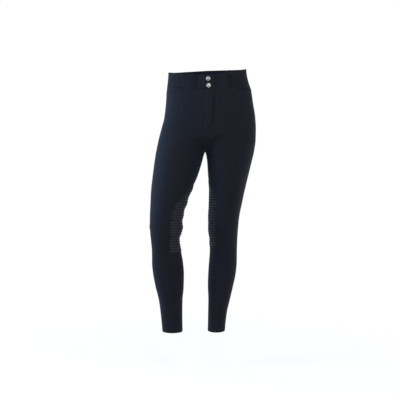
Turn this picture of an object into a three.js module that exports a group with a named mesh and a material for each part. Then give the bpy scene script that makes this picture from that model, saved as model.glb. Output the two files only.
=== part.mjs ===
// Riding breeches as they are worn, in millimetres. +Z is up, the front faces -Y and +X is the wearer's left.
// The origin is the centre of the waist opening, at the middle of the waistband's height.
import * as THREE from "three";

const CLOTH = 1.5; // wall of the stretch cloth, its seams and hems averaged in
const SEAM = 0.3; // space between two pieces that are sewn together, and between stacked layers
const LAYER = CLOTH + SEAM; // one layer of cloth lying on another

const CROTCH_Z = -264; // where the four panels meet between the legs
const FRONT_CURVE = 72; // height over which the front rise curves under, above the crotch
const BACK_CURVE = 112; // the same for the seat
const BLEND = 70; // height over which the columns move from even turns to the leg's spacing
const HEM_Z = -915;
const TORSO_ROUND = 0.85; // power on sine and cosine: below 1 the torso's section is fuller than an ellipse

const BAND = { height: 46, wall: 2.4, columns: 24 };
const BAND_EDGE = { front: 9.4, sideRise: 16.4, backRise: 3, tilt: 0.043, soft: 30, half: 143 };
const TAB = { over: 22, under: 14, ramp: 12 };
const FLY = { width: 17.5, endWidth: 13, end: -172, curl: 30, ramp: 8, flat: -213, fade: 20 };
const ZIP = { half: 11, wall: 1, behind: 2.1, drop: 2, end: -160 };
const COIL = { width: 3.4, off: 0.6, high: 1.1 };
const SLIDER = { long: 9, wall: 0.8, taper: 0.35 };
const POCKET = { start: 0.36, turn: 0.09, deep: 24, under: 9, behind: 2.4 };
const PATCH = { wall: 0.9, rib: 0.6, pitch: 9.4, clear: 1.2, tipClear: 2.2 };
const LOOP = { width: 10, wall: 1.4, arch: 1.3, over: 3 };
const BUTTON = { radius: 8, dome: 2.6, rim: 1 };

const PANEL_COLUMNS = 12;
const TORSO_ROWS = 7;
const CURVE_ROWS = 7;
const THIGH_ROWS = 5;
const KNEE_ROWS = 21; // closer rows, one and a half ribs of the knee patch apart
const CALF_ROWS = 9;
const KNEE_TOP = -366;
const KNEE_STEP = 1.5 * PATCH.pitch;
const HALF_RIBS = 3; // half ribs of the patch between two rows of the knee

const CLOTH_COLOUR = 0x1b222e;
const PATCH_COLOUR = 0x262e3a;
const METAL_COLOUR = 0xa9a9a6;

// The centre line of the body, where the centre front and centre back seams run, down to the crotch.
const CENTRE_COLUMNS = ["z", "x"];
const CENTRE = [
  [45, 0],
  [-90, 0],
  [-150, -2.5],
  [-200, -6],
  [CROTCH_Z, -10],
];

// Sections of each side: x of the side seam and of the inseam, y of the front, of the back and of both seams.
// Above the crotch the inseam's place is taken by the centre line.
const SECTION_COLUMNS = ["z", "out", "in", "front", "back", "seam"];
const SECTIONS = {
  right: [
    [45, -141.5, 0, -93, 100, 7],
    [10, -142.3, 0, -94, 103, 8],
    [-12, -144.2, 0, -96, 105, 8],
    [-40, -147.3, 0, -100, 109, 8],
    [-90, -150.9, 0, -106, 119, 8],
    [-140, -156.8, 0, -108, 128, 8],
    [-180, -167.2, 0, -107, 132, 8],
    [-220, -177.6, 0, -103, 128, 8],
    [CROTCH_Z, -187, -10, -99.5, 112, 8],
    [-270, -188.2, -12.8, -99.8, 109, 6.8],
    [-300, -192.7, -21.2, -101, 98, 2],
    [-350, -198.9, -37, -106, 80, -8],
    [-400, -204.2, -59.5, -112, 65, -20],
    [-450, -206.4, -78.5, -117, 50, -32],
    [-500, -208, -91.5, -120, 32, -45],
    [-545, -206.8, -94, -119, 12, -54],
    [-580, -203.5, -101.5, -113, 5, -55],
    [-620, -200.6, -95.6, -105, 12, -50],
    [-660, -200.8, -89.2, -97, 22, -42],
    [-700, -197.5, -86.2, -88, 30, -33],
    [-750, -188.8, -87.3, -77, 35, -24],
    [-800, -177.4, -91.7, -66, 35, -17],
    [-850, -171, -92.5, -56, 33, -12],
    [HEM_Z, -165, -92, -48, 32, -8],
  ],
  left: [
    [45, 136, 0, -93, 100, 7],
    [10, 140, 0, -94, 103, 8],
    [-12, 145.3, 0, -96, 105, 8],
    [-40, 154.3, 0, -100, 109, 8],
    [-90, 162.3, 0, -106, 119, 8],
    [-140, 170.2, 0, -108, 128, 8],
    [-180, 172.6, 0, -107, 132, 8],
    [-220, 171.9, 0, -103, 128, 8],
    [CROTCH_Z, 166.2, -10, -97, 114, 8],
    [-270, 165, -7.6, -96.6, 111.5, 7.7],
    [-300, 157.5, -2.7, -94, 101, 6],
    [-350, 145.5, 0.6, -91, 92, 4],
    [-400, 133.4, 5.2, -87, 84, 1],
    [-450, 122.8, 4.3, -82, 76, -1],
    [-500, 113, 2, -76, 67, -3],
    [-545, 108.6, 2.2, -69, 57, -5],
    [-580, 106.6, 6.6, -62, 54, -3],
    [-620, 105.5, 7, -56, 60, 1],
    [-660, 105.4, 4.4, -52, 68, 6],
    [-700, 102.3, 1.7, -49, 71, 9],
    [-750, 92.4, 0, -45, 66, 10],
    [-800, 80.8, 1.8, -41, 57, 9],
    [-850, 69.4, 1, -38, 48, 7],
    [HEM_Z, 62, 0, -36, 44, 6],
  ],
};

// The largest folds. Place runs round the side from the centre seam or inseam at 0 to the side seam, at 1 on
// the front and -1 on the back. Turn is the fold's slope in degrees, depth is out if it is above 0.
const FOLD_COLUMNS = ["place", "z", "turn", "length", "width", "depth"];
const FOLDS = {
  right: [
    [0.26, -226, 32, 40, 10, -2],
    [0.45, -620, -4, 62, 9, -3.0],
    [0.5, -643, 5, 50, 8, -2.2],
    [0.05, -398, 4, 34, 9, 2.2],
    [0.06, -447, -6, 40, 10, 2.4],
    [0.02, -489, 5, 36, 9, 2.2],
    [0.04, -531, -5, 40, 10, 3.0],
    [0.0, -566, 6, 46, 10, -2.6],
    [-0.5, -556, 3, 78, 11, -3.4],
    [-0.46, -586, -5, 66, 10, -3.0],
    [-0.55, -618, 6, 52, 10, -2.2],
    [-0.38, -282, -14, 66, 12, -2.8],
    [0.98, -528, 3, 34, 9, 1.6],
    [0.4, -845, 8, 40, 10, 2.0],
    [-0.4, -838, -6, 44, 11, 2.2],
  ],
  left: [
    [0.3, -221, 27, 50, 10, -3],
    [0.42, -560, 4, 50, 10, -1.6],
    [-0.5, -552, -3, 72, 11, -2.6],
    [-0.55, -584, 5, 58, 10, -2.2],
    [-0.4, -286, 12, 70, 12, -3.0],
    [-0.45, -312, 8, 48, 11, -1.8],
    [0.35, -848, -8, 40, 10, 1.8],
    [-0.45, -842, 6, 40, 11, 2.0],
  ],
};
const FOLD_SPAN = 175; // length of cloth from place 0 to place 1, for the folds' own sizes
const FOLD_END = 0.12;

// Knee patches: the panel's rows at the tip and the foot, counted from the top of the knee, the height of the
// shoulder, where a patch is at its full width, and how many of the panel's columns it covers on each face.
const KNEE = {
  right: { tip: 1, foot: 18, shoulder: -466, front: 5, back: 5 },
  left: { tip: 0, foot: 17, shoulder: -440, front: 4, back: 5 },
};

const SIDES = { right: -1, left: 1 };
const FACES = { front: -1, back: 1 };

const mix = (a, b, t) => a + (b - a) * t;
const clamp = (t) => Math.min(1, Math.max(0, t));
const smooth = (t) => clamp(t) ** 2 * (3 - 2 * clamp(t));
const radians = THREE.MathUtils.degToRad;

// The rows of a table as objects with named columns.
function named(columns, rows) {
  return rows.map((row) => Object.fromEntries(columns.map((name, i) => [name, row[i]])));
}

// A smooth curve through one column of a table, which never swings past its rows.
function through(rows, name) {
  const z = rows.map((row) => row.z);
  const value = rows.map((row) => row[name]);
  const steep = z.slice(1).map((next, i) => (value[i + 1] - value[i]) / (next - z[i]));
  const slope = z.map((_, i) => {
    if (i === 0) return steep[0];
    if (i === steep.length) return steep[i - 1];
    const both = steep[i - 1] * steep[i];
    return both <= 0 ? 0 : (2 * both) / (steep[i - 1] + steep[i]);
  });
  return (height) => {
    let i = 0;
    while (i < z.length - 2 && height < z[i + 1]) i += 1;
    const span = z[i + 1] - z[i];
    const t = clamp((height - z[i]) / span);
    const rise = t * t * (3 - 2 * t);
    const lead = span * t * (1 - t) * ((1 - t) * slope[i] - t * slope[i + 1]);
    return mix(value[i], value[i + 1], rise) + lead;
  };
}

const centreLine = through(named(CENTRE_COLUMNS, CENTRE), "x");
const curves = {};
const folds = {};
for (const side of Object.keys(SECTIONS)) {
  const rows = named(SECTION_COLUMNS, SECTIONS[side]);
  const legRows = rows.filter((row) => row.z <= CROTCH_Z);
  curves[side] = { in: through(legRows, "in") };
  for (const name of ["out", "front", "back", "seam"]) curves[side][name] = through(rows, name);
  folds[side] = named(FOLD_COLUMNS, FOLDS[side]);
}

// Share of the leg's own ring in the section at a height: 0 on the torso, 1 from the crotch down. At the
// centre seam it follows a quarter ellipse, so the seam curves under the body. Further round it fades in.
function legShare(face, u, z) {
  const curve = face === "front" ? FRONT_CURVE : BACK_CURVE;
  const down = clamp((CROTCH_Z + curve - z) / curve);
  return mix(1 - Math.sqrt(1 - down * down), smooth(down), smooth(u / 0.3));
}

// How far across the torso's half section u lies, as the sine of its turn from the centre seam. High up the
// turns are even. Where the legs begin, u lies as far across as on the leg's ring, so the two blend cleanly.
function torsoSine(face, u, z) {
  const curve = face === "front" ? FRONT_CURVE : BACK_CURVE;
  const even = Math.sin((Math.PI / 2) * u);
  return mix(even, even ** (2 / TORSO_ROUND), smooth((CROTCH_Z + curve + BLEND - z) / BLEND));
}

// A point of the plain outer face, from the centre seam or inseam at u = 0 to the side seam at u = 1.
function plain(side, face, u, z) {
  const sign = SIDES[side];
  const inner = (z > CROTCH_Z ? centreLine(z) : curves[side].in(z)) + (sign * SEAM) / 2;
  const outer = curves[side].out(z);
  const seam = curves[side].seam(z) + (FACES[face] * SEAM) / 2;
  const reach = curves[side][face](z) - seam;
  const sine = torsoSine(face, u, z);
  const torsoX = inner + (outer - inner) * sine ** TORSO_ROUND;
  const torsoY = seam + reach * Math.sqrt(Math.max(0, 1 - sine * sine)) ** TORSO_ROUND;
  const legX = (inner + outer) / 2 + ((inner - outer) / 2) * Math.cos(Math.PI * u);
  const legY = seam + reach * Math.sin(Math.PI * u);
  const share = legShare(face, u, z);
  return new THREE.Vector3(mix(torsoX, legX, share), mix(torsoY, legY, share), z);
}

// The outward direction of the plain face.
function outward(side, face, u, z) {
  if (Math.abs(z - CROTCH_Z) < 2)
    return outward(side, face, u, CROTCH_Z + 2.01).add(outward(side, face, u, CROTCH_Z - 2.01)).normalize();
  const step = 0.0005;
  const along = plain(side, face, Math.min(1, u + step), z).sub(plain(side, face, Math.max(0, u - step), z));
  const up = plain(side, face, u, z + 1).sub(plain(side, face, u, z - 1));
  return along.cross(up).normalize().multiplyScalar(-SIDES[side] * FACES[face]);
}

// How far the folds move the cloth out at a place on a side. Above the crotch they end at the centre seam.
function folded(side, place, z) {
  let out = 0;
  for (const fold of folds[side]) {
    const dx = (place - fold.place) * FOLD_SPAN;
    const dz = z - fold.z;
    const turn = radians(fold.turn);
    const along = dx * Math.cos(turn) + dz * Math.sin(turn);
    const across = dz * Math.cos(turn) - dx * Math.sin(turn);
    out += fold.depth * Math.exp(-((across / fold.width) ** 2)) * (1 - smooth(Math.abs(along) / fold.length));
  }
  return z > CROTCH_Z ? out * smooth(Math.abs(place) / FOLD_END) : out;
}

// A point of the cloth's outer face and its outward direction, moved out by a lift. A negative u goes on past
// the centre seam or the inseam: from a front panel's centre to the other side, or round a leg to the back.
function cloth(side, face, u, z, lift = 0) {
  const point = plain(side, face, u, z);
  const normal = outward(side, face, u, z);
  return { point: point.addScaledVector(normal, folded(side, -FACES[face] * u, z) + lift), normal };
}

// A closed wall from a grid of outer points: the same grid moved in by the wall makes the inside, and rims
// join them. Where the outside is ribbed, the plain inside has only every few rows of it. Columns before the
// turned one have their faces' diagonals the other way, as on the panel under them.
function wall(name, rows, columns, thickness, outerPoint, material, every = 1, turned = 0) {
  const positions = [];
  const outside = [];
  const inside = [];
  const put = (list, point) => {
    list.push(positions.length / 3);
    positions.push(...point.toArray());
  };
  const points = [];
  for (let i = 0; i <= rows; i += 1) {
    for (let j = 0; j <= columns; j += 1) points.push(outerPoint(i / rows, j / columns, i, j));
  }
  for (const { point } of points) put(outside, point);
  points.forEach(({ point, normal, extra = 0 }, k) => {
    const row = Math.floor(k / (columns + 1));
    if (row % every === 0) put(inside, point.clone().addScaledVector(normal, -(thickness + extra)));
  });
  const index = [];
  const out = (i, j) => outside[i * (columns + 1) + j];
  const inner = (i, j) => inside[i * (columns + 1) + j];
  const quad = (a, b, c, d) => index.push(a, b, c, a, c, d);
  const face = (a, b, c, d, j) => (j < turned ? quad(b, c, d, a) : quad(a, b, c, d));
  for (let i = 0; i < rows; i += 1) {
    for (let j = 0; j < columns; j += 1) face(out(i, j), out(i, j + 1), out(i + 1, j + 1), out(i + 1, j), j);
  }
  const innerRows = rows / every;
  for (let i = 0; i < innerRows; i += 1) {
    for (let j = 0; j < columns; j += 1)
      face(inner(i, j), inner(i + 1, j), inner(i + 1, j + 1), inner(i, j + 1), j);
  }
  for (let j = 0; j < columns; j += 1) {
    quad(out(0, j), inner(0, j), inner(0, j + 1), out(0, j + 1));
    quad(out(rows, j), out(rows, j + 1), inner(innerRows, j + 1), inner(innerRows, j));
  }
  for (let i = 0; i < innerRows; i += 1) {
    for (let k = i * every; k < (i + 1) * every; k += 1) {
      index.push(inner(i, 0), out(k, 0), out(k + 1, 0));
      index.push(inner(i, columns), out(k + 1, columns), out(k, columns));
    }
    index.push(inner(i, 0), out((i + 1) * every, 0), inner(i + 1, 0));
    index.push(inner(i, columns), inner(i + 1, columns), out((i + 1) * every, columns));
  }
  return mesh(name, positions, index, material);
}

// A named mesh whose faces point out, whichever way its grid ran.
function mesh(name, positions, index, material) {
  const geometry = new THREE.BufferGeometry();
  geometry.setAttribute("position", new THREE.Float32BufferAttribute(positions, 3));
  const corner = (i) => new THREE.Vector3().fromArray(positions, 3 * index[i]);
  let volume = 0;
  for (let i = 0; i < index.length; i += 3) volume += corner(i).dot(corner(i + 1).cross(corner(i + 2)));
  if (volume < 0) index.reverse();
  geometry.setIndex(index);
  geometry.computeVertexNormals();
  const made = new THREE.Mesh(geometry, material);
  made.name = name;
  return made;
}

const clothMaterial = () => new THREE.MeshStandardMaterial({ color: CLOTH_COLOUR, roughness: 0.85 });
const patchMaterial = () => new THREE.MeshStandardMaterial({ color: PATCH_COLOUR, roughness: 0.6 });
const metalMaterial = () => new THREE.MeshStandardMaterial({ color: METAL_COLOUR, roughness: 0.35, metalness: 1 });

// Height of the waistband's top edge: lowest at the centre front, higher at the sides, highest at the back.
function bandTop(face, x) {
  const toSide = (Math.hypot(x, BAND_EDGE.soft) - BAND_EDGE.soft) / (BAND_EDGE.half - BAND_EDGE.soft);
  const front = BAND_EDGE.front + BAND_EDGE.sideRise * toSide;
  const back = BAND_EDGE.front + BAND_EDGE.sideRise + BAND_EDGE.backRise * (1 - toSide);
  return (face === "front" ? front : back) + BAND_EDGE.tilt * x;
}

const bandFoot = (face, x) => bandTop(face, x) - BAND.height;

// How far across the waist a way round lies.
function across(side, u) {
  return plain(side, "front", u, 0).x;
}

// Depth of the front panel's edge below the waistband: nothing at the centre, then the pocket's scoop.
function scoop(u) {
  return POCKET.deep * smooth((u - POCKET.start) / POCKET.turn);
}

// Height of row t of a panel: the torso down to the curve, the curve at equal angles, then the leg.
function panelHeight(side, face, u, row, topDrop) {
  const curve = face === "front" ? FRONT_CURVE : BACK_CURVE;
  const top = bandFoot(face, across(side, u)) - 1.6 * SEAM - topDrop;
  if (row <= TORSO_ROWS) return mix(top, CROTCH_Z + curve, row / TORSO_ROWS);
  const turned = row - TORSO_ROWS;
  if (turned <= CURVE_ROWS) return CROTCH_Z + curve * (1 - Math.sin(radians((90 * turned) / CURVE_ROWS)));
  const thigh = turned - CURVE_ROWS;
  if (thigh <= THIGH_ROWS) return mix(CROTCH_Z, KNEE_TOP, (thigh / THIGH_ROWS) ** 1.6);
  const knee = thigh - THIGH_ROWS;
  if (knee <= KNEE_ROWS) return KNEE_TOP - KNEE_STEP * knee;
  return mix(KNEE_TOP - KNEE_STEP * KNEE_ROWS, HEM_Z, (knee - KNEE_ROWS) / CALF_ROWS);
}

// How far the fly lap reaches past the centre front at a height, in its own width.
function flyWidth(z) {
  if (z <= FLY.end) return 0;
  const straight = mix(FLY.endWidth, FLY.width, clamp((z - FLY.end) / 130));
  const curl = clamp((z - FLY.end) / FLY.curl);
  return straight * Math.sqrt(1 - (1 - curl) ** 2);
}

// Lift of the lap over the left front: full past the centre front, falling to nothing beside it and below it.
function flyLift(u, z) {
  const beside = u > 0 ? Math.abs(plain("right", "front", u, z).x - centreLine(z)) : 0;
  return LAYER * smooth(1 - beside / FLY.ramp) * smooth((z - FLY.flat) / FLY.fade);
}

// The way round, u, that puts the front of the torso a given distance from the centre seam, found by halving.
function turnFor(side, distance, z) {
  const share = distance / Math.abs(curves[side].out(z) - centreLine(z));
  let low = 0;
  let high = 1;
  for (let i = 0; i < 30; i += 1) {
    const middle = (low + high) / 2;
    if (torsoSine("front", middle, z) ** TORSO_ROUND < share) low = middle;
    else high = middle;
  }
  return low;
}

// The ways round of a panel's columns at a height: even, with two more beside the fly on the lapped front.
function panelWays(laps, z) {
  const even = Array.from({ length: PANEL_COLUMNS }, (_, k) => (k + 1) / PANEL_COLUMNS);
  if (!laps) return [0, ...even];
  return [-turnFor("left", flyWidth(z), z), 0, Math.min(even[0] / 2, turnFor("right", FLY.ramp, z)), ...even];
}

function panel(side, face) {
  const laps = side === "right" && face === "front";
  const columns = PANEL_COLUMNS + (laps ? 2 : 0);
  const rows = TORSO_ROWS + CURVE_ROWS + THIGH_ROWS + KNEE_ROWS + CALF_ROWS;
  return wall(
    `${face}_${side}`,
    rows,
    columns,
    CLOTH,
    (t, s, row, column) => {
      const guess = panelHeight(side, face, 0, row, 0);
      const u = panelWays(laps, guess)[column];
      const z = panelHeight(side, face, Math.max(0, u), row, face === "front" ? scoop(u) : 0);
      if (u < 0) return cloth("left", face, -u, z, flyLift(u, z));
      if (!laps) return cloth(side, face, u, z);
      const way = column === 1 && z < FLY.end ? 1 / (4 * PANEL_COLUMNS) : u;
      if (column > 2 || z > FLY.flat) return cloth(side, face, way, z, flyLift(way, z));
      const edge = cloth(side, face, 0, z);
      const next = cloth(side, face, 1 / PANEL_COLUMNS, z);
      const part = column / 3;
      return { point: edge.point.lerp(next.point, part), normal: edge.normal.lerp(next.normal, part) };
    },
    clothMaterial(),
  );
}

// The scooped pocket's facing: one layer under the front panel, from the waistband to just below the opening.
function pocketFacing(side) {
  const start = POCKET.start - 0.02;
  return wall(
    `pocket_facing_${side}`,
    4,
    8,
    CLOTH,
    (t, s) => {
      const u = mix(start, 1, s);
      const top = bandFoot("front", across(side, u)) - SEAM;
      return cloth(side, "front", u, mix(top, top - scoop(u) - POCKET.under, t), -POCKET.behind);
    },
    clothMaterial(),
  );
}

// One half of the waistband, from the centre back round the side to its end at the front. Its columns are
// even as far as the lap, then stand where the tab starts to rise, where it is clear of the other half and on.
function waistband(side) {
  const laps = side === "right";
  const other = laps ? "left" : "right";
  const past = laps ? TAB.over : TAB.under;
  const stations = [TAB.under + TAB.ramp, TAB.under, 0, -past / 2, -past];
  const evenEnd = 1 - turnFor(side, stations[0], 0);
  const even = BAND.columns;
  return wall(
    `waistband_${side}`,
    3,
    even + stations.length - 1,
    BAND.wall,
    (t, s, row, column) => {
      const ahead = stations[Math.max(0, column - even)];
      const onSide = ahead < 0 ? other : side;
      const way = column <= even ? mix(-1, evenEnd, column / even) : 1 - turnFor(onSide, Math.abs(ahead), 0);
      const face = way < 0 ? "back" : "front";
      const x = across(onSide, 1 - Math.abs(way));
      const z = mix(bandTop(face, x), bandFoot(face, x), t);
      const lift = laps && column > even ? BAND.wall + SEAM : 0;
      return cloth(onSide, face, 1 - Math.abs(way), z, lift);
    },
    clothMaterial(),
  );
}

// A knee patch, wrapped round the inseam from the back to the front, its outside in ribs. It is made from the
// panels' own rows and columns, moved out. Its tip is narrower than its columns and stands a little higher.
function kneePatch(side) {
  const knee = KNEE[side];
  const tip = KNEE_TOP - KNEE_STEP * knee.tip;
  const columns = knee.front + knee.back;
  const rows = (knee.foot - knee.tip) * HALF_RIBS;
  const onRow = (step, column, lift) => {
    const z = tip - KNEE_STEP * step;
    const wide = mix(0.16, 1, Math.sqrt(clamp((tip - z) / (tip - knee.shoulder))));
    const place = (wide * (column - knee.back)) / PANEL_COLUMNS;
    const clear = PATCH.clear * smooth((1 - wide) / 0.1) + PATCH.tipClear * smooth((0.62 - wide) / 0.46);
    return cloth(side, place < 0 ? "back" : "front", Math.abs(place), z, lift + clear);
  };
  return wall(
    `knee_patch_${side}`,
    rows,
    columns,
    PATCH.wall,
    (t, s, row, column) => {
      const rib = row % 2 ? PATCH.rib : 0;
      const above = Math.floor(row / HALF_RIBS);
      const share = row / HALF_RIBS - above;
      const upper = onRow(above, column, SEAM + PATCH.wall + rib);
      if (share === 0) return { ...upper, extra: rib };
      const lower = onRow(above + 1, column, SEAM + PATCH.wall + rib);
      return { point: upper.point.lerp(lower.point, share), normal: upper.normal.lerp(lower.normal, share) };
    },
    patchMaterial(),
    HALF_RIBS,
    knee.back,
  );
}

// A belt loop: a flat strip sewn down above and below, standing a little off the band between.
function beltLoop(name, side, face, distance) {
  return wall(
    name,
    6,
    2,
    LOOP.wall,
    (t, s) => {
      const wide = distance + mix(-1, 1, s) * (LOOP.width / 2);
      const onSide = wide < 0 ? (side === "right" ? "left" : "right") : side;
      const u = turnFor(onSide, Math.abs(wide), 0);
      const x = across(onSide, u);
      const z = mix(bandTop(face, x) + 0.5, bandFoot(face, x) - LOOP.over, t);
      return cloth(onSide, face, u, z, SEAM + LOOP.wall + LOOP.arch * Math.sin(Math.PI * t));
    },
    clothMaterial(),
  );
}

// A domed snap button: a low rim and a round cap, on the tab's face.
function button(name, x, z) {
  const profile = [new THREE.Vector2(0, 0), new THREE.Vector2(BUTTON.radius, 0)];
  for (let turn = 0; turn < 90; turn += 18) {
    const out = BUTTON.radius * Math.cos(radians(turn));
    profile.push(new THREE.Vector2(out, BUTTON.rim + BUTTON.dome * Math.sin(radians(turn))));
  }
  profile.push(new THREE.Vector2(0, BUTTON.rim + BUTTON.dome));
  const made = new THREE.Mesh(new THREE.LatheGeometry(profile, 20), metalMaterial());
  made.name = name;
  const side = x < 0 ? "right" : "left";
  const lift = BAND.wall + 2 * SEAM;
  const { point, normal } = cloth(side, "front", turnFor(side, Math.abs(x), z), z, lift);
  made.position.copy(point);
  made.quaternion.setFromUnitVectors(new THREE.Vector3(0, 1, 0), normal);
  return made;
}

// A point behind the fly, a signed distance left of the centre seam and a depth under the cloth.
function behindFly(distance, z, depth) {
  const side = distance < 0 ? "right" : "left";
  return cloth(side, "front", turnFor(side, Math.abs(distance), z), z, -depth);
}

// The zip's tape behind the fly, with the closed coil as a ridge beside the left front's edge.
function zip() {
  const coilEnd = -COIL.off - COIL.width;
  const columns = [-ZIP.half, coilEnd, coilEnd + 0.2, -COIL.off - 0.2, -COIL.off, ZIP.half];
  const top = bandFoot("front", 0) - ZIP.drop;
  const coilTop = SLIDER.long + 1.5 * ZIP.drop;
  const rows = [0, coilTop, coilTop + 0.2, 30, 50, 70, 90, top - ZIP.end];
  return wall(
    "zip",
    rows.length - 1,
    columns.length - 1,
    ZIP.wall,
    (t, s, row, column) => {
      const high = row > 1 && (column === 2 || column === 3) ? COIL.high : 0;
      return { ...behindFly(columns[column], top - rows[row], ZIP.behind - high), extra: high };
    },
    clothMaterial(),
  );
}

// The zip's slider at the top of the coil, covered by the closed lap.
function zipSlider() {
  const top = bandFoot("front", 0) - 2 * ZIP.drop;
  return wall(
    "zip_slider",
    3,
    2,
    SLIDER.wall,
    (t, s) => {
      const distance = -COIL.off - (COIL.width / 2) * (1 + mix(-1, 1, s) * (1 - SLIDER.taper * t));
      return behindFly(distance, top - SLIDER.long * t, ZIP.behind - SEAM - SLIDER.wall);
    },
    metalMaterial(),
  );
}

const breeches = new THREE.Group();
for (const side of Object.keys(SIDES)) {
  for (const face of Object.keys(FACES)) breeches.add(panel(side, face));
  breeches.add(waistband(side), pocketFacing(side), kneePatch(side));
}
breeches.add(
  beltLoop("belt_loop_front_right", "right", "front", 49),
  beltLoop("belt_loop_front_left", "left", "front", 78),
  beltLoop("belt_loop_back_right", "right", "back", 82),
  beltLoop("belt_loop_back_left", "left", "back", 82),
  beltLoop("belt_loop_centre_back", "left", "back", 0),
  button("button_top", 0.5, -2),
  button("button_bottom", 1.5, -26),
  zip(),
  zipSlider(),
);

export default breeches;
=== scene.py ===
"""Riding breeches as they are worn, held up at the waist: cloth, sewing, snaps, knee patches and light."""

import math

import bpy
import numpy as np
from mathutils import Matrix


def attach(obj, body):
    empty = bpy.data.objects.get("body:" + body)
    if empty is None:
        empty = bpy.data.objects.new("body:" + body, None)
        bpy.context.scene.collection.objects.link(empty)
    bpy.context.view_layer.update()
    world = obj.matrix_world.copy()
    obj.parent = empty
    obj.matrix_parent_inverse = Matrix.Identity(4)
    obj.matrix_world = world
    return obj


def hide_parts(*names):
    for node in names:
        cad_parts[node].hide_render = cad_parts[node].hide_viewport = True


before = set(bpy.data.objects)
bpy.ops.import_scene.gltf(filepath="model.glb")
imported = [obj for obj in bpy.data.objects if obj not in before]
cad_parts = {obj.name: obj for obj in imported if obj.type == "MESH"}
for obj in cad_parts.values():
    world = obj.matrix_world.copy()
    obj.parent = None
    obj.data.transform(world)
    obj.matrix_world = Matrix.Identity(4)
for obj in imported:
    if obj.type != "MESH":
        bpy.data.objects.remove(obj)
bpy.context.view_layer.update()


# Legs and seat. Two front and two back panels of dark navy four-way stretch cloth, cut close to the leg and
# joined by the centre seam, the inseams and the side seams. They keep their worn shape, one knee stepping
# forward, and the cloth creases where the legs bend.
MM = 0.001
CLOTH = 1.5
SEAM_GAP = 0.06
LAP_GAP = 0.3
CROTCH_Z = -264.0
CROTCH_NEAR = 2.0
CURVE = {"front": 72.0, "back": 112.0}
BLEND = 70.0
SHARE_STEP = 0.3
HEM_Z = -915.0
TORSO_ROUND = 0.85
SIDES = {"right": -1, "left": 1}
FACES = {"front": -1, "back": 1}

# Centre seam: z, x.
CENTRE = np.array([
    [45, 0],
    [-90, 0],
    [-150, -2.5],
    [-200, -6],
    [CROTCH_Z, -10],
])

# Sections of a side: z, x of the side seam, x of the inseam, y of the front, y of the back, y of both seams.
SECTION_COLUMNS = ("z", "out", "in", "front", "back", "seam")
SECTIONS = {
    "right": np.array([
        [45, -141.5, 0, -93, 100, 7],
        [10, -142.3, 0, -94, 103, 8],
        [-12, -144.2, 0, -96, 105, 8],
        [-40, -147.3, 0, -100, 109, 8],
        [-90, -150.9, 0, -106, 119, 8],
        [-140, -156.8, 0, -108, 128, 8],
        [-180, -167.2, 0, -107, 132, 8],
        [-220, -177.6, 0, -103, 128, 8],
        [CROTCH_Z, -187, -10, -99.5, 112, 8],
        [-270, -188.2, -12.8, -99.8, 109, 6.8],
        [-300, -192.7, -21.2, -101, 98, 2],
        [-350, -198.9, -37, -106, 80, -8],
        [-400, -204.2, -59.5, -112, 65, -20],
        [-450, -206.4, -78.5, -117, 50, -32],
        [-500, -208, -91.5, -120, 32, -45],
        [-545, -206.8, -94, -119, 12, -54],
        [-580, -203.5, -101.5, -113, 5, -55],
        [-620, -200.6, -95.6, -105, 12, -50],
        [-660, -200.8, -89.2, -97, 22, -42],
        [-700, -197.5, -86.2, -88, 30, -33],
        [-750, -188.8, -87.3, -77, 35, -24],
        [-800, -177.4, -91.7, -66, 35, -17],
        [-850, -171, -92.5, -56, 33, -12],
        [HEM_Z, -165, -92, -48, 32, -8],
    ]),
    "left": np.array([
        [45, 136, 0, -93, 100, 7],
        [10, 140, 0, -94, 103, 8],
        [-12, 145.3, 0, -96, 105, 8],
        [-40, 154.3, 0, -100, 109, 8],
        [-90, 162.3, 0, -106, 119, 8],
        [-140, 170.2, 0, -108, 128, 8],
        [-180, 172.6, 0, -107, 132, 8],
        [-220, 171.9, 0, -103, 128, 8],
        [CROTCH_Z, 166.2, -10, -97, 114, 8],
        [-270, 165, -7.6, -96.6, 111.5, 7.7],
        [-300, 157.5, -2.7, -94, 101, 6],
        [-350, 145.5, 0.6, -91, 92, 4],
        [-400, 133.4, 5.2, -87, 84, 1],
        [-450, 122.8, 4.3, -82, 76, -1],
        [-500, 113, 2, -76, 67, -3],
        [-545, 108.6, 2.2, -69, 57, -5],
        [-580, 106.6, 6.6, -62, 54, -3],
        [-620, 105.5, 7, -56, 60, 1],
        [-660, 105.4, 4.4, -52, 68, 6],
        [-700, 102.3, 1.7, -49, 71, 9],
        [-750, 92.4, 0, -45, 66, 10],
        [-800, 80.8, 1.8, -41, 57, 9],
        [-850, 69.4, 1, -38, 48, 7],
        [HEM_Z, 62, 0, -36, 44, 6],
    ]),
}

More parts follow.
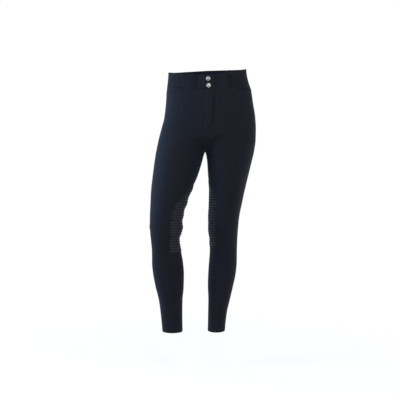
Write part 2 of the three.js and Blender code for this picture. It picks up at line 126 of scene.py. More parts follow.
# Folds and creases: place round the side, z, turn in degrees, length, width and depth. The place is 0 at the
# centre seam or inseam, and at the side seam 1 round the front or -1 round the back. A depth above 0 is
# outwards.
FOLDS = {
    "right": [
        # The largest ones.
        (0.26, -226, 32, 40, 10, -2),
        (0.45, -620, -4, 62, 9, -3.0),
        (0.5, -643, 5, 50, 8, -2.2),
        (0.05, -398, 4, 34, 9, 2.2),
        (0.06, -447, -6, 40, 10, 2.4),
        (0.02, -489, 5, 36, 9, 2.2),
        (0.04, -531, -5, 40, 10, 3.0),
        (0.0, -566, 6, 46, 10, -2.6),
        (-0.5, -556, 3, 78, 11, -3.4),
        (-0.46, -586, -5, 66, 10, -3.0),
        (-0.55, -618, 6, 52, 10, -2.2),
        (-0.38, -282, -14, 66, 12, -2.8),
        (0.98, -528, 3, 34, 9, 1.6),
        (0.4, -845, 8, 40, 10, 2.0),
        (-0.4, -838, -6, 44, 11, 2.2),
        # Drag lines from the crotch and along the front of the thigh.
        (0.15, -238, 38, 36, 4.0, -1.9),
        (0.24, -214, 30, 42, 4.6, 0.9),
        (0.16, -259, 12, 24, 3.2, -1.7),
        (0.34, -284, 50, 60, 5.5, -1.3),
        # Creases at the bent knee and under it.
        (0.46, -607, -6, 60, 3.8, -2.4),
        (0.55, -631, 4, 60, 3.6, -2.0),
        (0.42, -648, 8, 46, 3.4, -1.5),
        (0.6, -662, -4, 46, 4.0, -1.3),
        (0.62, -560, 10, 44, 4.4, -1.4),
        (0.56, -586, -8, 40, 4.0, -1.2),
        (0.03, -380, 8, 28, 3.4, -0.9),
        (0.08, -423, -4, 34, 3.2, -1.1),
        (0.04, -468, 6, 36, 3.2, -1.2),
        (0.1, -510, -8, 40, 3.6, -1.2),
        (0.02, -549, 2, 42, 3.4, -1.2),
        (0.1, -584, 10, 38, 3.0, -0.9),
        (-0.42, -541, -4, 60, 3.6, -1.4),
        (-0.52, -571, 2, 66, 3.2, -1.3),
        (-0.4, -600, -8, 58, 3.4, -1.2),
        (-0.58, -634, 5, 44, 3.4, -0.9),
        # Under the seat and at the ankle.
        (-0.3, -268, -18, 58, 4.2, -1.2),
        (-0.46, -300, -8, 60, 4.0, -1.1),
        (-0.6, -330, 3, 46, 4.6, -0.7),
        (0.34, -824, 12, 42, 4.0, -1.6),
        (0.5, -853, -7, 64, 4.2, -2.5),
        (0.42, -866, 5, 56, 4.4, 1.3),
        (0.46, -880, 7, 58, 3.8, -2.0),
        (0.36, -896, -4, 48, 3.4, -1.3),
        (-0.3, -822, 6, 42, 3.6, -0.8),
        (-0.5, -856, -8, 46, 3.2, -1.0),
        (-0.35, -884, 4, 46, 3.4, -0.9),
    ],
    "left": [
        # The largest ones.
        (0.3, -221, 27, 50, 10, -3),
        (0.42, -560, 4, 50, 10, -1.6),
        (-0.5, -552, -3, 72, 11, -2.6),
        (-0.55, -584, 5, 58, 10, -2.2),
        (-0.4, -286, 12, 70, 12, -3.0),
        (-0.45, -312, 8, 48, 11, -1.8),
        (0.35, -848, -8, 40, 10, 1.8),
        (-0.45, -842, 6, 40, 11, 2.0),
        # Drag lines from the crotch and along the front of the thigh.
        (0.24, -214, 25, 46, 3.8, -3.4),
        (0.27, -204, 24, 44, 4.8, 1.4),
        (0.19, -238, 32, 40, 4.2, -1.6),
        (0.16, -259, 10, 24, 3.2, -1.7),
        (0.36, -250, 18, 46, 5.0, -0.9),
        # Creases at the knee, in front of it and behind it.
        (0.36, -548, 9, 46, 3.8, -1.5),
        (0.5, -572, -4, 52, 4.0, -1.7),
        (0.42, -592, 5, 44, 3.6, -1.3),
        (0.62, -516, -12, 40, 5.0, -1.2),
        (0.06, -402, -6, 26, 3.4, -0.7),
        (0.08, -462, 7, 30, 3.4, -0.8),
        (0.04, -521, -5, 32, 3.4, -0.9),
        (0.08, -574, 6, 34, 3.2, -0.8),
        (-0.46, -538, 5, 60, 3.4, -1.3),
        (-0.52, -566, -3, 64, 3.2, -1.3),
        (-0.44, -596, 7, 54, 3.4, -1.1),
        (-0.6, -622, -6, 42, 3.6, -0.7),
        # Under the seat and at the ankle.
        (-0.32, -272, 16, 60, 4.2, -1.3),
        (-0.48, -298, 10, 62, 4.0, -1.2),
        (-0.58, -334, -5, 46, 4.6, -0.7),
        (0.3, -826, -10, 40, 4.0, -1.5),
        (0.48, -853, 7, 62, 4.2, -2.4),
        (0.4, -866, -6, 54, 4.4, 1.2),
        (0.36, -882, -5, 56, 3.8, -1.9),
        (0.55, -897, 6, 46, 3.4, -1.2),
        (-0.4, -826, -7, 42, 3.6, -0.8),
        (-0.5, -860, 5, 46, 3.2, -1.0),
        (-0.3, -888, -6, 42, 3.2, -0.8),
    ],
}
FOLD_SPAN = 175.0
FOLD_END = 0.06

BAND_HEIGHT = 46.0
BAND_EDGE = {"front": 9.4, "side_rise": 16.4, "back_rise": 3.0, "tilt": 0.043, "soft": 30.0, "half": 143.0}
BAND_GAP = 0.1
FLY = {"width": 17.5, "end_width": 13.0, "narrow": 130.0, "end": -172.0, "curl": 30.0, "seam": 12.0}
FLY_LIFT = {"ramp": 8.0, "flat": -188.0, "fade": 15.0}
FLY_FACE = {"swell": 1.3, "from": 10.0, "to": -16.0}
FLY_STITCH = {"beside": 7.0, "start": -146.0, "end": -177.0}
POCKET = {"start": 0.36, "turn": 0.09, "deep": 24.0, "under": 9.0, "behind": 2.4}
POCKET_EDGE = {"begin": 0.02, "out": 1.0, "at": 4.6, "wide": 4.2, "rows": (2.0, 8.0), "ahead": 0.0027}
HEM = {"deep": 14.0, "thick": 1.2, "out": 0.35, "step": 1.2, "inner_step": 1.5, "row": 11.5}
SEAM_DIP = {"deep": 0.75, "wide": 1.7, "ridge": 0.22, "at": 4.8, "soft": 3.0}
BAND_SEAM = {"deep": 0.5, "wide": 1.6}
PUCKER = {"share": 0.35, "wave": 11.5, "swing": 2.1, "long": 5.3, "side": 5.0}
TOPSTITCH = {"deep": 0.36, "wide": 0.9}


def mix(a, b, share):
    return a + (b - a) * share


def smooth(t):
    """Rises from 0 to 1 as t does, level at both ends: t squared times (3 - 2t)."""
    t = np.clip(t, 0, 1)
    return t * t * (3 - 2 * t)


def bump(offset, width):
    """A bell of height 1: e to the minus (offset over width) squared."""
    return np.exp(-((offset / width) ** 2))


def through(rows, column):
    """A curve of z through a table's column: cubic pieces, whose slope at a row is the harmonic mean of the
    slopes beside it, so that the curve never swings past its rows."""
    z = rows[::-1, 0]
    value = rows[::-1, column]
    steep = np.diff(value) / np.diff(z)
    rising = steep[:-1] * steep[1:] > 0
    total = np.where(rising, steep[:-1] + steep[1:], 1)
    inner = np.where(rising, 2 * steep[:-1] * steep[1:] / total, 0)
    slope = np.concatenate([steep[:1], inner, steep[-1:]])

    def curve(height):
        i = np.clip(np.searchsorted(z, height) - 1, 0, len(z) - 2)
        span = z[i + 1] - z[i]
        t = np.clip((height - z[i]) / span, 0, 1)
        lead = span * t * (1 - t) * ((1 - t) * slope[i] - t * slope[i + 1])
        return mix(value[i], value[i + 1], smooth(t)) + lead

    return curve


centre_line = through(CENTRE, 1)
curves = {}
for side, rows in SECTIONS.items():
    curves[side] = {name: through(rows, k) for k, name in enumerate(SECTION_COLUMNS) if k}
    curves[side]["in"] = through(rows[rows[:, 0] <= CROTCH_Z], SECTION_COLUMNS.index("in"))


def leg_share(face, u, z):
    """Share of the leg's ring in a section: at the centre seam a quarter ellipse in z, further round a soft
    step."""
    down = np.clip((CROTCH_Z + CURVE[face] - z) / CURVE[face], 0, 1)
    return mix(1 - np.sqrt(1 - down * down), smooth(down), smooth(u / SHARE_STEP))


def torso_sine(face, u, z):
    """How far across the half torso u lies: the sine of an even turn, drawn to the leg's spacing near the
    legs."""
    even = np.sin(np.pi / 2 * u)
    return mix(even, even ** (2 / TORSO_ROUND), smooth((CROTCH_Z + CURVE[face] + BLEND - z) / BLEND))


def plain(side, face, u, z):
    """The smooth outer face: a full quarter ellipse round the torso, with its sine and cosine to a power
    below 1, and half an ellipse round the leg, mixed by the leg's share. u is 0 at the centre seam or inseam,
    and 1 at the side seam."""
    curve = curves[side]
    inner = np.where(z > CROTCH_Z, centre_line(z), curve["in"](z)) + SIDES[side] * SEAM_GAP / 2
    outer = curve["out"](z)
    seam = curve["seam"](z) + FACES[face] * SEAM_GAP / 2
    reach = curve[face](z) - seam
    sine = torso_sine(face, u, z)
    torso_x = inner + (outer - inner) * sine ** TORSO_ROUND
    torso_y = seam + reach * np.sqrt(np.clip(1 - sine * sine, 0, 1)) ** TORSO_ROUND
    leg_x = (inner + outer) / 2 + (inner - outer) / 2 * np.cos(np.pi * u)
    leg_y = seam + reach * np.sin(np.pi * u)
    share = leg_share(face, u, z)
    return np.stack([mix(torso_x, leg_x, share), mix(torso_y, leg_y, share), z + 0 * u], axis=-1)


def unit(vectors):
    return vectors / np.linalg.norm(vectors, axis=-1, keepdims=True)


TURN_STEP = 0.0005


def outward(side, face, u, z):
    """The outward direction of the plain face: the cross of its slopes in u and in z. Close to the crotch,
    where torso and leg meet, it is the mean of the directions just above and just below."""
    near = np.abs(z - CROTCH_Z) < CROTCH_NEAR
    clear = CROTCH_NEAR + 0.01
    total = 0
    for beside in (clear, -clear):
        height = np.where(near, CROTCH_Z + beside, z)
        along = plain(side, face, np.minimum(1, u + TURN_STEP), height)
        along = along - plain(side, face, np.maximum(0, u - TURN_STEP), height)
        up = plain(side, face, u, height + 1) - plain(side, face, u, height - 1)
        total = total + unit(np.cross(along, up))
    return unit(total) * -SIDES[side] * FACES[face]


def folded(side, place, z):
    """How far the folds move the cloth out: each is a bell across its line, fading towards its ends. Above
    the crotch they end at the centre seam."""
    out = np.zeros(np.broadcast(place, z).shape)
    for at, height, turn, length, width, depth in FOLDS[side]:
        dx = (place - at) * FOLD_SPAN
        dz = z - height
        turn = math.radians(turn)
        along = dx * math.cos(turn) + dz * math.sin(turn)
        across = dz * math.cos(turn) - dx * math.sin(turn)
        out += depth * bump(across, width) * (1 - smooth(np.abs(along) / length))
    return np.where(z > CROTCH_Z, out * smooth(np.abs(place) / FOLD_END), out)


def cloth(side, face, u, z, lift=0.0):
    """Points on the cloth's outer face and their outward directions, moved out by a lift."""
    u, z = np.broadcast_arrays(np.asarray(u, float), np.asarray(z, float))
    normal = outward(side, face, u, z)
    out = folded(side, -FACES[face] * u, z) + lift
    return plain(side, face, u, z) + normal * np.asarray(out)[..., None], normal


def turn_for(side, distance, z):
    """The u that puts the front of the torso a distance from the centre seam, found by halving."""
    share = distance / np.abs(curves[side]["out"](z) - centre_line(z))
    low = np.zeros(np.broadcast(share, z).shape)
    high = low + 1
    for _ in range(26):
        middle = (low + high) / 2
        short = torso_sine("front", middle, z) ** TORSO_ROUND < share
        low = np.where(short, middle, low)
        high = np.where(short, high, middle)
    return low


def band_top(face, x):
    """Height of the waistband's top edge: a soft V at the front, rising to the sides and on to the back."""
    to_side = (np.hypot(x, BAND_EDGE["soft"]) - BAND_EDGE["soft"]) / (BAND_EDGE["half"] - BAND_EDGE["soft"])
    front = BAND_EDGE["front"] + BAND_EDGE["side_rise"] * to_side
    back = BAND_EDGE["front"] + BAND_EDGE["side_rise"] + BAND_EDGE["back_rise"] * (1 - to_side)
    return (front if face == "front" else back) + BAND_EDGE["tilt"] * x


def across(side, u):
    """x at the waist of a way round u."""
    return plain(side, "front", u, np.zeros(np.shape(u)))[..., 0]


def scoop(u):
    """Depth of the pocket's scooped edge below the waistband."""
    return POCKET["deep"] * smooth((u - POCKET["start"]) / POCKET["turn"])


def fly_width(z):
    """Reach of the fly lap past the centre front: it narrows downwards and ends in a quarter ellipse."""
    straight = mix(FLY["end_width"], FLY["width"], np.clip((z - FLY["end"]) / FLY["narrow"], 0, 1))
    curl = np.clip((z - FLY["end"]) / FLY["curl"], 0, 1)
    return straight * np.sqrt(1 - (1 - curl) ** 2)


def fly_lift(distance, z, height):
    """Lift of the lap over the other front: full past the centre, falling to nothing beside and below it."""
    beside = smooth(1 - np.maximum(0, distance) / FLY_LIFT["ramp"])
    return height * beside * smooth((z - FLY_LIFT["flat"]) / FLY_LIFT["fade"])


def fly_stitch(z):
    """Distance of the curved fly stitching from the centre: straight down, then a quarter ellipse to the
    seam."""
    turn = np.clip((z - FLY_STITCH["end"]) / (FLY_STITCH["start"] - FLY_STITCH["end"]), 0, 1)
    return FLY_STITCH["beside"] * np.sqrt(1 - (1 - turn) ** 2)


def seam_relief(distance, z):
    """Relief beside a seam: a groove at the seam, which puckers along it, and a soft ridge over the
    allowance."""
    wave = 2 * np.pi * z / PUCKER["wave"]
    pucker = 1 + PUCKER["share"] * np.sin(wave + PUCKER["swing"] * np.sin(wave / PUCKER["long"]))
    ridge = SEAM_DIP["ridge"] * bump(distance - SEAM_DIP["at"], SEAM_DIP["soft"])
    return pucker * (ridge - SEAM_DIP["deep"] * bump(distance, SEAM_DIP["wide"]))


def stitched(offset):
    """The groove that a row of stitches pulls into the cloth: a bell of the distance from it."""
    return -TOPSTITCH["deep"] * bump(offset, TOPSTITCH["wide"])


def panel_top(side, face, u):
    """Height of a panel's top edge: the band's foot, which the pocket's scoop lowers along the front."""
    top = band_top(face, across(side, u)) - BAND_HEIGHT - BAND_GAP
    return top - scoop(u) if face == "front" else top


def mouth_row(side, u, inset):
    """Height of a line beside the pocket's edge: the edge moved down by an inset, and towards the centre by a
    share of it, so that the line stays as far from the edge along the slant."""
    moved = scoop(u) - scoop(u + POCKET_EDGE["ahead"] * inset)
    return panel_top(side, "front", u) + moved - inset


def lap_relief(u, z):
    """Lift of the right front at the fly: over the left front where it laps, with a face that swells towards
    its edge, and the groove of its curved stitching."""
    right = centre_line(z) - plain("right", "front", np.maximum(0, u), z)[..., 0]
    left = plain("left", "front", np.maximum(0, -u), z)[..., 0] - centre_line(z)
    distance = np.where(u < 0, -left, right)
    swell = smooth((FLY_FACE["from"] - distance) / (FLY_FACE["from"] - FLY_FACE["to"]))
    out = fly_lift(distance, z, CLOTH + LAP_GAP) + fly_lift(0 * distance, z, FLY_FACE["swell"]) * swell
    sewn = (z > FLY_STITCH["end"]) & (u > 0)
    return out + np.where(sewn, stitched(distance - fly_stitch(z)), 0)


def panel_relief(side, face, u, z):
    """Lift of a panel's outer face over the folded cloth: at its seams, along the pocket's edge, which stands
    out between its two rows of stitches, and at the hem. On the right front u below 0 is the lap."""
    at = np.maximum(0, u)
    from_top = panel_top(side, face, at) - z
    centre = seam_relief(at * FOLD_SPAN, z)
    pocket = smooth((at - POCKET["start"]) / POCKET_EDGE["begin"]) if face == "front" else 0 * at
    relief = seam_relief((1 - u) * FOLD_SPAN, z + PUCKER["side"])
    relief = relief - (1 - pocket) * BAND_SEAM["deep"] * bump(from_top, BAND_SEAM["wide"])
    if face == "front":
        rows = sum(stitched(mouth_row(side, at, row) - z) for row in POCKET_EDGE["rows"])
        edge = POCKET_EDGE["out"] * bump(mouth_row(side, at, POCKET_EDGE["at"]) - z, POCKET_EDGE["wide"])
        relief = relief + pocket * (rows + edge)
    if side == "right" and face == "front":
        centre = centre * smooth((FLY["end"] - z) / FLY["seam"])
        relief = relief + lap_relief(u, z)
    low = z - HEM_Z
    turned_up = HEM["out"] * smooth((HEM["deep"] - low) / HEM["step"])
    return relief + centre + turned_up + stitched(low - HEM["row"])


def grain(points):
    """Cloth coordinates in metres, straight with the grain: the way across each row to its last column, and
    the way up that column, plus how much higher the point is than the last one of its row."""
    across_steps = np.linalg.norm(np.diff(points, axis=1), axis=-1)
    way = np.concatenate([np.zeros((len(points), 1)), np.cumsum(across_steps, axis=1)], axis=1)
    down_steps = np.linalg.norm(np.diff(points[:, -1], axis=0), axis=-1)
    fall = np.concatenate([[0], np.cumsum(down_steps)])[:, None]
    return np.stack([way[:, -1:] - way, fall[-1] - fall + points[..., 2] - points[:, -1:, 2]], axis=-1) * MM


def add_mesh(name, vertices, faces, uv=None, material=None):
    """A smooth piece at the origin from points in millimetres and corner indices, with its faces turned
    outwards."""
    faces = [np.asarray(block) for block in faces]
    inside = 0
    for block in faces:
        corner = vertices[block]
        for k in range(1, block.shape[1] - 1):
            inside += np.einsum("ij,ij", corner[:, 0], np.cross(corner[:, k], corner[:, k + 1]))
    if inside < 0:
        faces = [block[:, ::-1] for block in faces]
    corners = np.concatenate([block.ravel() for block in faces])
    sizes = np.concatenate([np.full(len(block), block.shape[1]) for block in faces])
    made = bpy.data.meshes.new(name)
    made.vertices.add(len(vertices))
    made.vertices.foreach_set("co", (vertices * MM).ravel())
    made.loops.add(len(corners))
    made.loops.foreach_set("vertex_index", corners)
    made.polygons.add(len(sizes))
    made.polygons.foreach_set("loop_start", np.cumsum(sizes) - sizes)
    made.polygons.foreach_set("use_smooth", np.ones(len(sizes), bool))
    if uv is not None:
        layer = made.uv_layers.new(name="cloth")
        layer.data.foreach_set("uv", uv[corners].ravel())
    made.update(calc_edges=True)
    made.validate()
    piece = bpy.data.objects.new(name, made)
    bpy.context.scene.collection.objects.link(piece)
    if material is not None:
        made.materials.append(material)
    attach(piece, "root")
    return piece


def grid_quads(rows, columns):
    """Corner indices of the quads of a grid of points, row by row."""
    a = (np.arange(rows - 1)[:, None] * columns + np.arange(columns - 1)).ravel()
    return np.stack([a, a + 1, a + columns + 1, a + columns], axis=-1)


def shell(name, outer, normal, thickness, material, bulge=0.32):
    """A closed thin wall: the outer grid, the same grid moved in along its normals, and a rounded edge
    between them, whose middle stands out by a share of the thickness."""
    rows, columns = outer.shape[:2]
    thickness = np.broadcast_to(thickness, (rows, columns))
    inner = outer - normal * thickness[..., None]
    index = np.arange(rows * columns).reshape(rows, columns)
    ring = np.concatenate([index[0], index[1:, -1], index[-1, -2::-1], index[-2:0:-1, 0]])
    within = np.clip(index // columns, 1, rows - 2) * columns + np.clip(index % columns, 1, columns - 2)
    flat_outer = outer.reshape(-1, 3)
    flat_inner = inner.reshape(-1, 3)
    away = unit(flat_outer[ring] - flat_outer[within.ravel()[ring]])
    rim = (flat_outer[ring] + flat_inner[ring]) / 2
    rim = rim + away * bulge * thickness.ravel()[ring][:, None]
    vertices = np.concatenate([flat_outer, flat_inner, rim])
    count = rows * columns
    front = grid_quads(rows, columns)
    back = front[:, ::-1] + count
    after = np.roll(ring, -1)
    rim_index = 2 * count + np.arange(len(ring))
    rim_after = np.roll(rim_index, -1)
    outer_edge = np.stack([after, ring, rim_index, rim_after], axis=-1)
    inner_edge = np.stack([rim_after, rim_index, ring + count, after + count], axis=-1)
    uv = grain(outer).reshape(-1, 2)
    uv = np.concatenate([uv, uv, uv[ring]])
    return add_mesh(name, vertices, [front, back, outer_edge, inner_edge], uv, material)


class Value:
    """A socket among a material's nodes. Its operators add Math nodes, and node() adds any other node."""

    def __init__(self, tree, socket):
        self.tree = tree
        self.socket = socket

    def node(self, kind, settings, inputs, output=0):
        made = self.tree.nodes.new(kind)
        for name, value in settings.items():
            setattr(made, name, value)
        for name, value in inputs.items():
            if isinstance(value, Value):
                self.tree.links.new(value.socket, made.inputs[name])
            else:
                made.inputs[name].default_value = value
        return Value(self.tree, made.outputs[output])

    def math(self, operation, *values):
        return self.node("ShaderNodeMath", {"operation": operation}, dict(enumerate(values)))

    def __add__(self, other):
        return self.math("ADD", self, other)

    __radd__ = __add__

    def __mul__(self, other):
        return self.math("MULTIPLY", self, other)

    __rmul__ = __mul__

    def __sub__(self, other):
        return self.math("SUBTRACT", self, other)

    def __rsub__(self, other):
        return self.math("SUBTRACT", other, self)

    def sine(self):
        return self.math("SINE", self)

    def noise(self, scale, detail):
        """Noise at these coordinates."""
        return self.node("ShaderNodeTexNoise", {}, {"Vector": self, "Scale": scale, "Detail": detail})

    def relief(self, strength, distance):
        """A normal, from this height."""
        return self.node("ShaderNodeBump", {}, {"Strength": strength, "Distance": distance, "Height": self})

    def between(self, low, high):
        """The colour between two at this share."""
        return self.node("ShaderNodeMix", {"data_type": "RGBA"}, {0: self, 6: low, 7: high}, 2)

    def feed(self, shader, name):
        """Links this value to a socket of a shader."""
        self.tree.links.new(self.socket, shader.inputs[name])


def finish_of(name, settings):
    """A material, its shader with the settings that are the same all over, and its two kinds of coordinates:
    places on the object and on the cloth."""
    made = bpy.data.materials.new(name)
    made.use_nodes = True
    tree = made.node_tree
    shader = tree.nodes["Principled BSDF"]
    for socket, value in settings.items():
        shader.inputs[socket].default_value = value
    place = tree.nodes.new("ShaderNodeTexCoord")
    return made, shader, Value(tree, place.outputs["Object"]), Value(tree, place.outputs["UV"])


SHEEN_BLUE = (0.42, 0.62, 0.9, 1.0)
NAP = {"Sheen Roughness": 0.42, "Sheen Tint": SHEEN_BLUE, "Specular IOR Level": 0.09}
WEAVE = {"ribs": 0.68, "weft": 0.32, "weft_rate": 1.9, "weft_slant": 0.35, "mottle": 26.0, "fibre": 900.0}
COLOUR_SHARE = {"yarn": 0.55, "mottle": 0.3, "fibre": 0.15}
ROUGH_SHARE = {"mottle": 0.16, "yarn": 0.06}
HEIGHT_SHARE = {"yarn": 0.75, "fibre": 0.25, "strength": 0.55, "deep": 0.00012}


def woven(name, dark, light, sheen, rough, twill=0.0009):
    """Stretch cloth: a fine twill of slanting ribs, a sine of the way across plus the way down, with a finer
    weft across it, soft mottling from dye and wear, and a nap. Colours are for the valleys and the crests."""
    made, shader, spot, flat = finish_of(name, {"Sheen Weight": sheen, **NAP})
    way = flat.node("ShaderNodeSeparateXYZ", {}, {"Vector": flat})
    fall = flat.node("ShaderNodeSeparateXYZ", {}, {"Vector": flat}, 1)
    turn = 2 * math.pi / twill
    ribs = ((way + fall) * turn).sine() * 0.5 + 0.5
    weft = ((fall - way * WEAVE["weft_slant"]) * (turn * WEAVE["weft_rate"])).sine() * 0.5 + 0.5
    yarn = ribs * WEAVE["ribs"] + weft * WEAVE["weft"]
    mottle = spot.noise(WEAVE["mottle"], 3.0)
    fibre = spot.noise(WEAVE["fibre"], 1.0)
    share = yarn * COLOUR_SHARE["yarn"] + mottle * COLOUR_SHARE["mottle"] + fibre * COLOUR_SHARE["fibre"]
    share.between(dark, light).feed(shader, "Base Color")
    roughness = rough + (mottle - 0.5) * ROUGH_SHARE["mottle"] - (yarn - 0.5) * ROUGH_SHARE["yarn"]
    roughness.feed(shader, "Roughness")
    height = yarn * HEIGHT_SHARE["yarn"] + fibre * HEIGHT_SHARE["fibre"]
    height.relief(HEIGHT_SHARE["strength"], HEIGHT_SHARE["deep"]).feed(shader, "Normal")
    return made


NAVY = (0.0026, 0.003, 0.0056, 1.0)
NAVY_YARN = (0.0068, 0.0075, 0.0122, 1.0)
cloth_finish = woven("stretch_cloth", NAVY, NAVY_YARN, 0.07, 0.78)

# Columns and rows of a panel's grid. EDGE_STEPS are mm in from an edge and TOP_SHARES are shares of the
# torso's height. The columns by the pocket, the lap and the fly's stitches run from one way round to another.
EDGE_STEPS = np.array([0, 0.35, 0.9, 1.7, 2.8])
TOP_SHARES = np.array([0, 0.0025, 0.006, 0.012, 0.02])
COLUMNS = {"all": 66, "pocket": (0.34, 0.47, 16), "lap": (0, 0.2, 12), "fly": (0.044, 0.075, 22)}
ROWS = {"torso": 50, "curl": 14, "under": 64, "thigh": 40, "knee": 122, "calf": 80}
KNEE_TOP = -366.0
KNEE_FOOT = -662.0


def panel_rows(side, face, laps):
    """A panel's rows: shares of the way from its top edge down the torso, closer together round the end of
    the fly, then heights round the curve under the seat, down the thigh, over the knee and down the calf."""
    foot = CROTCH_Z + CURVE[face]
    top = panel_top(side, face, 0.0)
    torso = np.concatenate([TOP_SHARES, np.linspace(TOP_SHARES[-1], 1, ROWS["torso"])])
    if laps:
        curl = FLY["end"] + FLY["curl"] * (1 - np.cos(np.linspace(0, np.pi / 2, ROWS["curl"])))
        torso = np.concatenate([torso, (top - curl) / (top - foot)])
    under = CROTCH_Z + CURVE[face] * (1 - np.sin(np.linspace(0, np.pi / 2, ROWS["under"])))
    thigh = np.linspace(CROTCH_Z, KNEE_TOP, ROWS["thigh"])
    knee = np.linspace(KNEE_TOP, KNEE_FOOT, ROWS["knee"])
    calf = np.linspace(KNEE_FOOT, HEM_Z + EDGE_STEPS[-1], ROWS["calf"])
    below = np.unique(np.concatenate([under, thigh, knee, calf, HEM_Z + EDGE_STEPS]).round(4))
    return np.unique(torso.round(6)), below[::-1][1:]


def panel(side, face):
    """A panel: the folded cloth with its relief. Its columns run from the centre seam, or on the right front
    from the lap's edge, to the side seam, and its rows from the waistband to the hem, which is doubled."""
    laps = side == "right" and face == "front"
    edge = EDGE_STEPS / FOLD_SPAN
    ways = np.concatenate([edge, np.linspace(edge[-1], 1 - edge[-1], COLUMNS["all"]), 1 - edge])
    if face == "front":
        ways = np.concatenate([ways, np.linspace(*COLUMNS["pocket"])])
    if laps:
        ways = np.concatenate([ways, np.linspace(*COLUMNS["lap"]), np.linspace(*COLUMNS["fly"])])
    ways = np.unique(ways.round(5))
    torso, below = panel_rows(side, face, laps)
    foot = CROTCH_Z + CURVE[face]
    middle = np.concatenate([mix(panel_top("left", face, 0.0), foot, torso), below])
    past = turn_for("left", fly_width(middle) * (middle > FLY["end"]), middle) if laps else 0 * middle
    u = -past[:, None] + (1 + past[:, None]) * ways
    at = np.maximum(0, u)
    top = panel_top(side, face, at[: len(torso)])
    z = np.concatenate([mix(top, foot, torso[:, None]), below[:, None] + 0 * ways])
    relief = panel_relief(side, face, u, z)
    points, normal = cloth(side, face, at, z, relief)
    if laps:
        past_points, past_normal = cloth("left", "front", np.maximum(0, -u), z, relief)
        points = np.where((u < 0)[..., None], past_points, points)
        normal = np.where((u < 0)[..., None], past_normal, normal)
    thickness = CLOTH + HEM["thick"] * smooth((HEM_Z + HEM["deep"] - z) / HEM["inner_step"])
    return shell(f"{face}_panel_{side}", points, normal, thickness, cloth_finish)


def turned(rings, foot, head):
    """A closed round form: rings with as many points each, joined by quads, and a fan to a point at each end.
    Returns its points and faces."""
    count, sides = rings.shape[:2]
    k = np.arange(sides)
    after = (k + 1) % sides
    step = sides * np.arange(count - 1)[:, None]
    quads = np.stack([k + step, after + step, after + step + sides, k + step + sides], axis=-1).reshape(-1, 4)
    last = sides * (count - 1)
    low = np.stack([after, k, np.full(sides, count * sides)], axis=-1)
    high = np.stack([k + last, after + last, np.full(sides, count * sides + 1)], axis=-1)
    return np.concatenate([rings.reshape(-1, 3), [foot, head]]), [quads, np.concatenate([low, high])]


def circle(sides):
    """Cosines and sines of even turns."""
    about = 2 * np.pi * np.arange(sides) / sides
    return np.stack([np.cos(about), np.sin(about)], axis=-1)


def pill(sides=6):
    """A small pill along x, of half length and radius 1: circles whose radius grows and falls."""
    ring = np.pad(circle(sides), ((0, 0), (1, 0)))
    along = ((-0.86, 0.62), (-0.5, 1.0), (0.5, 1.0), (0.86, 0.62))
    return turned(np.stack([[x, 0, 0] + ring * radius for x, radius in along]), [-1, 0, 0], [1, 0, 0])


def repeated(form, faces, centres, along, normal, size):
    """Copies of a small form: each point is the centre plus its x along, its y to the side and its z
    outwards, each times its size. Returns all points and faces."""
    side = unit(np.cross(normal, along))
    axes = np.stack([along, side, unit(normal)], axis=1)
    points = centres[:, None] + np.einsum("pk,nkj->npj", form * np.asarray(size), axes)
    step = len(form) * np.arange(len(centres))[:, None, None]
    return points.reshape(-1, 3), [(block[None] + step).reshape(-1, block.shape[1]) for block in faces]


STITCH = {"pitch": 3.3, "reach": 0.6, "rise": 0.2, "size": (1.42, 0.3, 0.3)}
THREAD = (0.012, 0.0135, 0.02, 1.0)
THREAD_DARK = (0.0045, 0.005, 0.008, 1.0)
thread, shader, spot, flat = finish_of("sewing_thread", {"Specular IOR Level": 0.3})
ply = spot.noise(1800.0, 2.0)
ply.between(THREAD_DARK, THREAD).feed(shader, "Base Color")
(0.42 + ply * 0.2).feed(shader, "Roughness")


def stitches_along(points, normals):
    """Middles of stitches a pitch apart along a line, by its length, with their directions."""
    run = np.concatenate([[0], np.cumsum(np.linalg.norm(np.diff(points, axis=0), axis=1))])
    at = np.arange(STITCH["pitch"] / 2, run[-1], STITCH["pitch"])

    def read(rows, where):
        return np.stack([np.interp(where, run, rows[:, k]) for k in range(3)], axis=-1)

    start = read(points, at - STITCH["reach"])
    end = read(points, at + STITCH["reach"])
    normal = unit(read(normals, at))
    return (start + end) / 2 + normal * STITCH["rise"], unit(end - start), normal


def sew(name, lines):
    """Rows of lockstitch along lines of points and outward directions, as one piece of thread."""
    rows = zip(*[stitches_along(*line) for line in lines])
    centres, along, normals = [np.concatenate(part) for part in rows]
    points, faces = repeated(*pill(), centres, along, normals, STITCH["size"])
    add_mesh(name, points, faces, None, thread)


def on_panel(side, face, u, z):
    """Points on a panel's outer face and their outward directions."""
    return cloth(side, face, u, z, panel_relief(side, face, u, z))


for side in SIDES:
    for face in FACES:
        node = f"{face}_{side}"
        piece = panel(side, face)
        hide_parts(node)

# Stitch lines: heights down the fly, and ways round the hem and along the pocket's edge.
FLY_LINE = (panel_top("right", "front", 0.0) - 3, FLY_STITCH["end"] + 0.5, 160)
HEM_LINE = (0.02, 0.98, 90)
POCKET_LINE = (POCKET["start"] + 0.004, 0.985, 160)

down = np.linspace(*FLY_LINE)
sew("fly_stitches", [on_panel("right", "front", turn_for("right", fly_stitch(down), down), down)])
for side in SIDES:
    hem = np.linspace(*HEM_LINE)
    mouth = np.linspace(*POCKET_LINE)
    row_z = HEM_Z + HEM["row"] + 0 * hem
    edges = [mouth_row(side, mouth, row) for row in POCKET_EDGE["rows"]]
    sew(f"hem_stitches_{side}", [on_panel(side, face, hem, row_z) for face in FACES])
    sew(f"pocket_stitches_{side}", [on_panel(side, "front", mouth, edge) for edge in edges])


